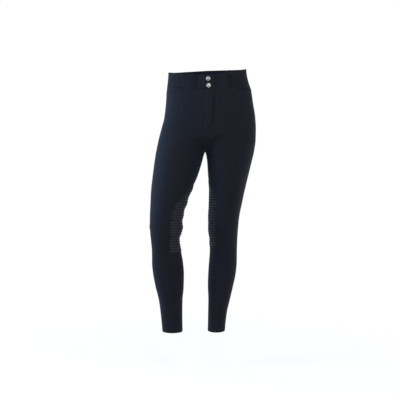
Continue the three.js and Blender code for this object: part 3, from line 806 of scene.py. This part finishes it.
# Scoop pocket facings. One layer of the same cloth closes each pocket behind its curved opening. It is caught
# in the waistband and the side seam, and shows in the scoop.
FACING = {"tuck": 0.02, "sink": 3.2, "from": 0.86, "level": 0.99, "lip": 0.5, "rise": 2.5}


def pocket_facing(side):
    """The facing: the front panel's own cloth, sunk behind it by more towards its foot, from the waistband to
    below the opening. Above the opening's edge it comes level with the back panel at the side seam."""
    u = np.linspace(POCKET["start"] - FACING["tuck"], 1, 72)
    t = np.linspace(0, 1, 30)[:, None]
    drop = t * (scoop(u) + POCKET["under"])
    near = smooth((u - FACING["from"]) / (FACING["level"] - FACING["from"]))
    over = smooth((scoop(u) + FACING["lip"] - drop) / FACING["rise"])
    sunk = POCKET["behind"] * (1 - near * over) + FACING["sink"] * smooth(t) * (1 - near)
    points, normal = cloth(side, "front", u, panel_top(side, "front", u) + scoop(u) - drop, -sunk)
    return shell(f"facing_{side}", points, normal, CLOTH, cloth_finish)


for side in SIDES:
    piece = pocket_facing(side)
    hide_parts(f"pocket_facing_{side}")


# Waistband. Two curved halves of doubled cloth with a firm layer inside, sewn to the panels. The right half
# ends in a tab that laps over the left at the front and takes the snaps.
BAND_WALL = 2.4
TAB = {"over": 22.0, "under": 14.0, "ramp": 12.0, "round": 4.0}
BAND_ROWS = {"top": 5.6, "foot": 1.9}
BAND_SLACK = {"out": 0.16, "wave": 9.0, "swing": 1.3, "long": 3.7, "wide": 4.0}
BAND_COLUMNS = {"back": 70, "side": 50, "past": 22}
OTHER = {"right": "left", "left": "right"}

# Drops of the band's rows, below its top edge and above its foot, closer together at its stitches.
BAND_TOP = np.array([0, 0.3, 0.8, 1.6, 2.8, 4.2, 5.0, 5.6, 6.2, 7.2])
BAND_MIDDLE = (9, 38.5, 17)
BAND_FOOT = np.array([6.0, 4.2, 3.0, 2.4, 1.9, 1.4, 0.9, 0.35, 0])

# Columns every millimetre within this of the centre front, and what stands for the distance of those past it.
NEAR_CENTRE = 40.0
FAR = 99.0


def band_columns(side):
    """A half band's columns in three stretches, each on a side and a face at its ways round: up the back from
    the centre, along the front, and past the centre front. Also each one's distance from its centre front."""
    other = OTHER[side]
    over = TAB["over"] if side == "right" else TAB["under"]
    near = np.arange(NEAR_CENTRE - 1, 0, -1)
    past = np.linspace(0, over - EDGE_STEPS[-1], BAND_COLUMNS["past"])
    past = np.concatenate([past, over - EDGE_STEPS[-2::-1]])
    edge = EDGE_STEPS / FOLD_SPAN
    back = np.concatenate([edge, np.linspace(edge[-1], 1, BAND_COLUMNS["back"])[1:]])
    wide = np.linspace(1, turn_for(side, np.array(NEAR_CENTRE), 0.0), BAND_COLUMNS["side"])[1:]
    front = np.concatenate([wide, turn_for(side, near, 0.0)])
    beyond = turn_for(other, past, 0.0)
    distance = np.concatenate([np.full(len(back) + len(wide), FAR), near, -past])
    return [(side, "back", back), (side, "front", front), (other, "front", beyond)], distance


def band_form(side, drop):
    """Points and outward directions of a half band at drops below its top edge. The tab rises over the other
    half by a soft step, its corners are quarter circles, and the cloth is slack beside its stitched edges."""
    stretches, distance = band_columns(side)
    wave = 2 * np.pi * np.arange(len(distance)) / BAND_SLACK["wave"]
    slack = np.sin(wave + BAND_SLACK["swing"] * np.sin(wave / BAND_SLACK["long"]))
    slack = BAND_SLACK["out"] * slack * bump(drop - BAND_ROWS["top"], BAND_SLACK["wide"])
    lift = slack + stitched(drop - BAND_ROWS["top"]) + stitched(BAND_HEIGHT - BAND_ROWS["foot"] - drop)
    corner = np.zeros(len(distance))
    if side == "right":
        rise = smooth((TAB["under"] + TAB["ramp"] - distance) / TAB["ramp"])
        lift = lift + (BAND_WALL + LAP_GAP) * rise + stitched(distance + TAB["over"] - EDGE_STEPS[-1])
        corner = np.clip(1 - (TAB["over"] + distance) / TAB["round"], 0, 1)
    cut_in = TAB["round"] * (1 - np.sqrt(1 - corner ** 2))
    points = []
    normals = []
    start = 0
    for on, face, ways in stretches:
        columns = slice(start, start + len(ways))
        start += len(ways)
        top = band_top(face, across(on, ways)) - cut_in[columns]
        z = top - drop / BAND_HEIGHT * (BAND_HEIGHT - 2 * cut_in[columns])
        made, out = cloth(on, face, ways, z, lift[:, columns])
        points.append(made)
        normals.append(out)
    return np.concatenate(points, axis=1), np.concatenate(normals, axis=1)


def waistband(side):
    """A half of the band from the centre back round the side to its end past the centre front."""
    drop = np.concatenate([BAND_TOP, np.linspace(*BAND_MIDDLE), BAND_HEIGHT - BAND_FOOT])
    return shell(f"band_{side}", *band_form(side, drop[:, None]), BAND_WALL, cloth_finish)


def band_rows(side):
    """The band's stitching: along its top edge, down its end and back along its foot."""
    drop = np.linspace(BAND_ROWS["top"], BAND_HEIGHT - BAND_ROWS["foot"], 40)[:, None]
    end = -len(EDGE_STEPS)
    grids = band_form(side, drop)
    return [np.concatenate([grid[0, 1:end], grid[:, end], grid[-1, end:0:-1]]) for grid in grids]


for side in SIDES:
    piece = waistband(side)
    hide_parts(f"waistband_{side}")
    sew(f"band_stitches_{side}", [band_rows(side)])


# Fly zip. A woven tape behind the lap with a closed nylon coil down it. The lap covers both, and the tape's
# edges are caught in the fly's stitching.
ZIP = {"half": 11.0, "wall": 0.7, "behind": 2.2, "drop": 2.0, "end": -160.0}
COIL = {"centre": -2.3, "rise": 0.35, "pitch": 1.45, "slant": 0.22, "size": (1.6, 0.42, 0.42)}
COIL_ENDS = (12.0, 3.0)
BLACK = (0.0026, 0.0028, 0.0036, 1.0)
BLACK_YARN = (0.0075, 0.008, 0.0095, 1.0)


def on_front(distance, z, lift=0.0):
    """Points on the front and their outward directions, a signed distance left of the centre seam."""
    distance, z, lift = np.broadcast_arrays(distance, z, lift)
    ways = [turn_for(side, np.maximum(0, SIDES[side] * distance), z) for side in ("right", "left")]
    right = cloth("right", "front", ways[0], z, lift)
    left = cloth("left", "front", ways[1], z, lift)
    pick = (distance < 0)[..., None]
    return np.where(pick, right[0], left[0]), np.where(pick, right[1], left[1])


tape_finish = woven("zip_tape", BLACK, BLACK_YARN, 0.05, 0.82, 0.0007)
top = panel_top("left", "front", 0.0) - ZIP["drop"]
tape_z = np.linspace(top, ZIP["end"], 60)[:, None]
tape_way = np.linspace(-ZIP["half"], ZIP["half"], 30)
points, normal = on_front(tape_way, tape_z, -ZIP["behind"])
tape = shell("zip_tape", points, normal, ZIP["wall"], tape_finish)
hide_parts("zip")

nylon, shader, spot, flat = finish_of("zip_nylon", {"Base Color": BLACK_YARN, "Specular IOR Level": 0.5})
scuff = spot.noise(700.0, 2.0)
(0.34 + scuff * 0.2).feed(shader, "Roughness")
coil_z = np.arange(top - COIL_ENDS[0], ZIP["end"] + COIL_ENDS[1], -COIL["pitch"])
coil_way = np.full(len(coil_z), COIL["centre"])
centres, normal = on_front(coil_way, coil_z, COIL["rise"] - ZIP["behind"])
below, _ = on_front(coil_way, coil_z - 1, COIL["rise"] - ZIP["behind"])
lengthwise = unit(below - centres)
crossing = unit(np.cross(normal, lengthwise) + COIL["slant"] * lengthwise)
points, faces = repeated(*pill(), centres, crossing, normal, COIL["size"])
add_mesh("zip_coil", points, faces, None, nylon)


# Slider and metal. The slider is a small curved plate over the coil. It and the snaps are plated brass in an
# antique nickel finish, satin and a little worn.
SLIDER = {"long": 9.0, "half": 1.7, "wall": 0.8, "rise": 0.3, "taper": 0.35, "corner": 0.35, "crown": 0.25}
NICKEL = (0.38, 0.375, 0.365, 1.0)
NICKEL_DARK = (0.14, 0.138, 0.132, 1.0)
WORN = {"From Min": 0.32, "From Max": 0.58}
nickel, shader, spot, flat = finish_of("antique_nickel", {"Metallic": 1.0})
patina = spot.noise(420.0, 4.0)
speck = spot.noise(2600.0, 2.0)
wear = patina * 0.75 + speck * 0.25
wear = wear.node("ShaderNodeMapRange", {"interpolation_type": "SMOOTHSTEP"}, {"Value": wear, **WORN})
wear.between(NICKEL_DARK, NICKEL).feed(shader, "Base Color")
(0.42 - wear * 0.14 + speck * 0.06).feed(shader, "Roughness")
speck.relief(0.25, 0.00005).feed(shader, "Normal")

t = np.linspace(0, 1, 12)[:, None]
s = np.linspace(-1, 1, 9)
width = SLIDER["half"] * (1 - SLIDER["taper"] * t) * np.sqrt(1 - SLIDER["corner"] * (2 * t - 1) ** 6)
crown = SLIDER["crown"] * ((1 - s ** 2) * np.sin(np.pi * t) - 1)
lift = SLIDER["rise"] + SLIDER["wall"] + crown - ZIP["behind"]
points, normal = on_front(COIL["centre"] + s * width, top - ZIP["drop"] - SLIDER["long"] * t, lift)
slider = shell("slider", points, normal, SLIDER["wall"], nickel, 0.4)
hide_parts("zip_slider")


# Snap buttons. Two domed caps, one over the other on the tab. Each is pressed from sheet metal: a rolled rim,
# a fine groove inside it and a smooth dome.
SNAP = {"radius": 8.0, "sides": 48, "foot": 0.05, "foot_in": 1.6, "off": 0.55}
SNAP_RIM = {"wide": 0.62, "high": 0.55}
SNAP_DOME = {"in": 1.5, "from": 0.72, "to": 3.5, "full": 0.9}
SNAPS = {"top": (0.5, -2.0), "bottom": (1.5, -26.0)}


def snap(name, distance, z):
    """A turned cap on the tab: a profile of radius and height carried round its axis. The rim is an arc of an
    ellipse, and the dome has a cosine for its radius and a sine, to a power, for its height."""
    turn = np.linspace(0, np.pi / 2, 15)[:-1]
    bead = np.linspace(-np.pi / 2, np.pi * 0.75, 11)
    wide = SNAP_RIM["wide"]
    rim = [SNAP["radius"] - wide + wide * np.cos(bead), wide + SNAP_RIM["high"] * np.sin(bead)]
    crown = mix(SNAP_DOME["from"], SNAP_DOME["to"], np.sin(turn) ** SNAP_DOME["full"])
    dome = [(SNAP["radius"] - SNAP_DOME["in"]) * np.cos(turn), crown]
    foot = [[0.001, SNAP["radius"] - SNAP["foot_in"]], [SNAP["foot"], SNAP["foot"]]]
    radius, height = np.concatenate([foot, rim, dome], axis=1)
    rings = np.pad(radius[:, None, None] * circle(SNAP["sides"]), ((0, 0), (0, 0), (0, 1)))
    rings[..., 2] = height[:, None]
    local, faces = turned(rings, [0, 0, SNAP["foot"]], [0, 0, SNAP_DOME["to"]])
    centre, axis = on_front(np.array([distance]), np.array([z]), BAND_WALL + SNAP["off"])
    sideways = unit(np.cross(axis, [[0, 0, 1.0]]))
    upward = np.cross(sideways, axis)
    return add_mesh(name, centre + local @ np.concatenate([sideways, upward, axis]), faces, None, nickel)


for place, (distance, z) in SNAPS.items():
    piece = snap(f"snap_{place}", distance, z)
    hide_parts(f"button_{place}")


# Belt loops. Five flat strips of the same cloth, folded and stitched along both edges, sewn down above and
# below the band and standing a little off it between, so that a belt passes through.
LOOP = {"width": 10.0, "wall": 1.4, "top": -0.5, "over": 3.0, "clear": 0.2, "arch": 2.1, "bow": 0.8}
LOOP_PRESS = {"edges": 0.3, "rows": 0.62, "deep": 0.28, "wide": 0.16, "tack_deep": 0.45, "tack_wide": 0.022}
LOOP_TACKS = (0.075, 0.925)
LOOP_WAYS = [-1, -0.94, -0.84, -0.72, -0.54, -0.36, -0.18, 0, 0.18, 0.36, 0.54, 0.72, 0.84, 0.94, 1]
# The loops are the same cloth as the panels, but their colours here are darker: painted shade for the
# darkness the loops show against the band.
LOOP_SHADED_NAVY = (0.002, 0.0022, 0.0038, 1.0)
LOOP_SHADED_YARN = (0.0048, 0.0052, 0.0085, 1.0)
shaded_loop_finish = woven("loop_cloth_painted_shade", LOOP_SHADED_NAVY, LOOP_SHADED_YARN, 0.05, 0.82)
LOOPS = {
    "front_right": ("right", "front", 49.0),
    "front_left": ("left", "front", 78.0),
    "back_right": ("right", "back", 82.0),
    "back_left": ("left", "back", 82.0),
    "centre_back": ("left", "back", 0.0),
}


def on_waist(side, face, distance, drop, lift):
    """Points on the band and their outward directions: a distance from the centre seam, which below 0 is on
    the other side, and a drop below the band's top edge."""
    made = []
    for on, sign in ((side, 1), (OTHER[side], -1)):
        u = turn_for(on, np.maximum(0, sign * distance), 0.0)
        made.append(cloth(on, face, u, band_top(face, across(on, u)) - drop, lift))
    pick = (distance >= 0 * drop)[..., None]
    return np.where(pick, made[0][0], made[1][0]), np.where(pick, made[0][1], made[1][1])


def loop_form(side, face, distance, s, t):
    """Points and outward directions of a belt loop, s across it and t down it: it stands off by a sine of the
    way down, and is pressed flat where bar tacks hold its ends and where stitches run beside its edges."""
    drop = mix(LOOP["top"], BAND_HEIGHT + LOOP["over"], t)
    lift = LOOP["clear"] + LOOP["wall"] + LOOP["arch"] * np.sin(np.pi * t) ** LOOP["bow"]
    lift = lift - LOOP_PRESS["deep"] * bump(np.abs(s) - LOOP_PRESS["rows"], LOOP_PRESS["wide"])
    lift = lift - LOOP_PRESS["edges"] * np.abs(s) ** 6
    for tack in LOOP_TACKS:
        lift = lift - LOOP_PRESS["tack_deep"] * bump(t - tack, LOOP_PRESS["tack_wide"])
    return on_waist(side, face, distance + s * LOOP["width"] / 2 + 0 * t, drop + 0 * s, lift)


def belt_loop(name, side, face, distance):
    """A strip down the band and over its foot."""
    ends = np.linspace(0, 0.04, 6)
    t = np.concatenate([ends[:-1], np.linspace(0.04, 0.96, 45), 1 - ends[-2::-1]])[:, None]
    form = loop_form(side, face, distance, np.array(LOOP_WAYS), t)
    return shell(f"loop_{name}", *form, LOOP["wall"] - 0.25, shaded_loop_finish, 0.4)


def loop_rows(side, face, distance):
    """A loop's stitching: one row beside each edge, and three short ones side by side for each bar tack."""
    t = np.linspace(0.1, 0.9, 50)
    s = np.linspace(-0.8, 0.8, 12)
    across_rows = [tack + step for tack in LOOP_TACKS for step in (-0.01, 0, 0.01)]
    edges = [loop_form(side, face, distance, sign * LOOP_PRESS["rows"] + 0 * t, t) for sign in (-1, 1)]
    return edges + [loop_form(side, face, distance, s, row + 0 * s) for row in across_rows]


for name, (side, face, distance) in LOOPS.items():
    piece = belt_loop(name, side, face, distance)
    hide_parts(f"belt_loop_{name}")
    sew(f"loop_stitches_{name}", loop_rows(side, face, distance))


# Knee patches. A second layer of stretch cloth sewn round the inside of each knee, with rows of silicone
# printed on it for grip. The rows stand on low ribs, and the dots between them are smaller.
PATCH = {"wall": 0.9, "inside": 0.45, "clear": 0.12, "rib": 0.6, "pitch": 9.4, "across": 146.0, "sewn": 2.2}
PATCH_EDGE = {"thin": 0.55, "out": 0.4, "ramp": 1.6, "rib_in": 1.5, "rib_ramp": 3.0, "tip": 0.16}
KNEE_STEP = 1.5 * PATCH["pitch"]
COLUMN = 1 / 12
KNEES = {
    "right": {"tip": 1, "foot": 18, "shoulder": -466.0, "front": 5, "back": 5},
    "left": {"tip": 0, "foot": 17, "shoulder": -440.0, "front": 4, "back": 5},
}
DASH = {"size": (4.6, 1.75, 0.8), "first": PATCH["pitch"] / 2, "apart": 10.6, "margin": 8.0}
DOT = {"size": (0.95, 0.95, 0.4), "first": PATCH["pitch"], "apart": 5.3, "margin": 5.5}
GRIP_ENDS = {"tip": 6.0, "foot": 5.0}
GRIP_COUNT = 20
SPAN_WAY = 0.4
DOME_FOOT = -0.3
PATCH_NAVY = (0.0034, 0.0037, 0.006, 1.0)
PATCH_YARN = (0.009, 0.0098, 0.0145, 1.0)
SILICONE = (0.023, 0.0258, 0.04, 1.0)


def round_leg(side, place, z, lift):
    """Points on a side and their outward directions at a place, which is above 0 on the front and below 0 on
    the back."""
    place, z, lift = np.broadcast_arrays(place, z, lift)
    front = cloth(side, "front", np.maximum(0, place), z, lift)
    back = cloth(side, "back", np.maximum(0, -place), z, lift)
    pick = (place >= 0)[..., None]
    return np.where(pick, front[0], back[0]), np.where(pick, front[1], back[1])


def patch_ends(side):
    """Heights of a patch's tip and foot."""
    knee = KNEES[side]
    return KNEE_TOP - KNEE_STEP * knee["tip"], KNEE_TOP - KNEE_STEP * knee["foot"]


def patch_width(side, z):
    """Share of its full width that a patch has at a height: a square root from its tip to its shoulder."""
    tip, _ = patch_ends(side)
    down = np.clip((tip - z) / (tip - KNEES[side]["shoulder"]), 0, 1)
    return mix(PATCH_EDGE["tip"], 1, np.sqrt(down))


def patch_ribs(side, z):
    """Low ribs under the silicone rows: a raised cosine of the height, with a crest at half a pitch."""
    tip, _ = patch_ends(side)
    return PATCH["rib"] * (0.5 - 0.5 * np.cos(2 * np.pi * (tip - z) / PATCH["pitch"]))


def patch_edge(side, z, margin):
    """Places of a patch's front and back edges at a height, less a margin."""
    wide = patch_width(side, z) * COLUMN
    return KNEES[side]["front"] * wide - margin / FOLD_SPAN, margin / FOLD_SPAN - KNEES[side]["back"] * wide


def patch_lift(side, place, z):
    """Height of a patch over the cloth: its wall and ribs, falling to a thin edge that is stitched down."""
    tip, foot = patch_ends(side)
    front, back = patch_edge(side, z, 0)
    to_edge = np.minimum(np.minimum(front - place, place - back) * FOLD_SPAN, np.minimum(tip - z, z - foot))
    full = smooth((to_edge + PATCH_EDGE["out"]) / PATCH_EDGE["ramp"])
    wall = PATCH["wall"] * mix(PATCH_EDGE["thin"], 1, full)
    ribs = patch_ribs(side, z) * smooth((to_edge - PATCH_EDGE["rib_in"]) / PATCH_EDGE["rib_ramp"])
    return PATCH["clear"] + wall + ribs + stitched(to_edge - PATCH["sewn"])


def on_patch(side, place, z):
    """Points on a patch's outer face and their outward directions."""
    return round_leg(side, place, z, patch_lift(side, place, z))


def knee_patch(side):
    """A patch: its columns run from the back edge round the inseam to the front edge, its rows from tip to
    foot."""
    tip, foot = patch_ends(side)
    z = np.concatenate([tip - EDGE_STEPS, np.linspace(tip, foot, 205)[3:-3], foot + EDGE_STEPS])
    z = np.unique(z.round(4))[::-1][:, None]
    edge = EDGE_STEPS / PATCH["across"]
    share = np.unique(np.concatenate([edge, np.linspace(edge[-1], 1 - edge[-1], 68), 1 - edge]).round(5))
    front, back = patch_edge(side, z, 0)
    form = on_patch(side, mix(back, front, share), z)
    return shell(f"patch_{side}", *form, PATCH["inside"], patch_finish)


def patch_rows(side):
    """A patch's stitching: down its front edge, along its foot, up its back edge and across its tip."""
    tip, foot = patch_ends(side)
    z = np.linspace(tip - PATCH["sewn"], foot + PATCH["sewn"], 260)
    front, back = patch_edge(side, z, PATCH["sewn"])
    low = np.linspace(front[-1], back[-1], 60)
    high = np.linspace(back[0], front[0], 12)
    place = np.concatenate([front, low, back[::-1], high])
    height = np.concatenate([z, z[-1] + 0 * low, z[::-1], z[0] + 0 * high])
    return on_patch(side, place, height)


def leg_span(side, z):
    """Length of cloth round from the inseam for a turn of 1, at the rate it has near the inseam."""
    line, _ = round_leg(side, np.linspace(-SPAN_WAY, SPAN_WAY, 41), z, 0.0)
    return np.linalg.norm(np.diff(line, axis=0), axis=-1).sum() / (2 * SPAN_WAY)


def grip_spots(side, spot):
    """Places and heights of one kind of spot, in staggered rows a pitch apart, a margin inside the patch."""
    tip, foot = patch_ends(side)
    found = []
    for count, z in enumerate(np.arange(tip - spot["first"], foot, -PATCH["pitch"])):
        if not foot + GRIP_ENDS["foot"] < z < tip - GRIP_ENDS["tip"]:
            continue
        steps = np.arange(-GRIP_COUNT, GRIP_COUNT + 1) + 0.5 * (count % 2)
        place = steps * spot["apart"] / leg_span(side, z)
        front, back = patch_edge(side, z, spot["margin"])
        place = place[(place < front) & (place > back)]
        found.append(np.stack([place, z + 0 * place], axis=-1))
    return np.concatenate(found)


def blob(sides=10):
    """A low round blob: rings at radius cosine and height sine of a quarter turn, on a flat foot."""
    ring = circle(sides)
    low = [np.pad(ring, ((0, 0), (0, 1)), constant_values=DOME_FOOT)]
    for turn in np.radians([0, 28, 56]):
        level = np.pad(ring * math.cos(turn), ((0, 0), (0, 1)), constant_values=math.sin(turn))
        low.append(level)
    return turned(np.stack(low), [0, 0, DOME_FOOT], [0, 0, 1.0])


def printed(side, spot):
    """All spots of one kind on a patch, each along its row: points and faces."""
    place, z = grip_spots(side, spot).T
    centres, normal = on_patch(side, place, z)
    ahead, _ = on_patch(side, place + 0.01, z)
    return repeated(*blob(), centres, unit(ahead - centres), normal, spot["size"])


patch_finish = woven("patch_cloth", PATCH_NAVY, PATCH_YARN, 0.09, 0.72)
silicone, shader, spot, flat = finish_of("grip_silicone", {"Specular IOR Level": 0.24})
cloudy = spot.noise(180.0, 3.0)
cloudy.between(PATCH_YARN, SILICONE).feed(shader, "Base Color")
(0.36 + cloudy * 0.22).feed(shader, "Roughness")

for side in SIDES:
    piece = knee_patch(side)
    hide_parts(f"knee_patch_{side}")
    dashes, dash_faces = printed(side, DASH)
    dots, dot_faces = printed(side, DOT)
    faces = dash_faces + [block + len(dashes) for block in dot_faces]
    grip = add_mesh(f"grip_{side}", np.concatenate([dashes, dots]), faces, None, silicone)
    sew(f"patch_stitches_{side}", [patch_rows(side)])


# Camera, floor and light. The camera stands level with the hips and looks slightly down at the legs. The
# floor is pale, and softboxes light the cloth from the left, the left rear, the right and above.
CAMERA_AT = (-0.02844, -4.2, -0.077)
LOOK_DOWN = 4.9
lens = bpy.data.cameras.new("camera")
lens.lens = 105.0
lens.sensor_width = 36.0
lens.clip_end = 100.0
camera = bpy.data.objects.new("camera", lens)
camera.location = CAMERA_AT
camera.rotation_euler = (math.radians(90 - LOOK_DOWN), 0, 0)
bpy.context.scene.collection.objects.link(camera)
bpy.context.scene.camera = camera

FLOOR_Z = -1066.0
FLOOR_HALF = 9000.0
FLOOR_WHITE = (0.86, 0.87, 0.88, 1.0)
STUDIO_WHITE = (1.0, 1.0, 1.0, 1.0)
STUDIO_GLOW = 0.4
GLOW_FADE = {"From Min": 0.2, "From Max": 1.8, "To Min": 0.6}
MIDDLE_Z = -0.45


def floor_finish():
    """Pale floor: matt under the breeches, and further off as bright as the studio behind it, so that no edge
    shows."""
    made, shader, spot, flat = finish_of("pale_floor", {"Base Color": FLOOR_WHITE, "Roughness": 0.9})
    away = spot.node("ShaderNodeVectorMath", {"operation": "LENGTH"}, {0: spot}, 1)
    away = away.node("ShaderNodeMapRange", {"interpolation_type": "SMOOTHSTEP"}, {"Value": away, **GLOW_FADE})
    glow = away.node("ShaderNodeEmission", {}, {"Color": STUDIO_WHITE, "Strength": 1.0})
    lit = Value(made.node_tree, shader.outputs[0])
    both = away.node("ShaderNodeMixShader", {}, {0: away, 1: lit, 2: glow})
    both.feed(made.node_tree.nodes["Material Output"], "Surface")
    return made


corners = np.array([[-1, -1], [1, -1], [1, 1], [-1, 1]]) * FLOOR_HALF
floor_mesh = bpy.data.meshes.new("floor")
floor_mesh.from_pydata([(x * MM, y * MM, FLOOR_Z * MM) for x, y in corners], [], [(0, 1, 2, 3)])
floor_mesh.materials.append(floor_finish())
floor = bpy.data.objects.new("floor", floor_mesh)
bpy.context.scene.collection.objects.link(floor)

studio = bpy.data.worlds.new("studio")
studio.use_nodes = True
sky = studio.node_tree.nodes["Background"]
sky.inputs["Color"].default_value = STUDIO_WHITE
seen = Value(studio.node_tree, studio.node_tree.nodes.new("ShaderNodeLightPath").outputs["Is Camera Ray"])
(STUDIO_GLOW + seen * (1 - STUDIO_GLOW)).feed(sky, "Strength")
bpy.context.scene.world = studio


def softbox(name, at, size, power, colour):
    """A square area light at a point, turned to face the middle of the breeches. Its tilt is the angle
    between straight down and the way to there, and its turn is that way's direction over the floor."""
    light = bpy.data.lights.new(name, "AREA")
    light.size = size
    light.energy = power
    light.color = colour
    lamp = bpy.data.objects.new(name, light)
    toward = unit(np.array([0, 0, MIDDLE_Z]) - np.array(at))
    lamp.location = at
    lamp.rotation_euler = (math.acos(-toward[2]), 0, math.atan2(toward[1], toward[0]) - math.pi / 2)
    bpy.context.scene.collection.objects.link(lamp)


softbox("key", (-2.5, -1.2, 0.8), 1.2, 98, (0.55, 0.76, 1.0))
softbox("edge", (-2.6, 0.9, 0.3), 1.0, 50, (0.38, 0.64, 1.0))
softbox("fill", (2.4, -2.0, 0.6), 1.6, 56, (1.0, 0.97, 0.95))
softbox("front", (0.3, -2.4, 2.6), 1.0, 50, (1.0, 1.0, 1.0))

bpy.context.scene.view_settings.view_transform = "Standard"
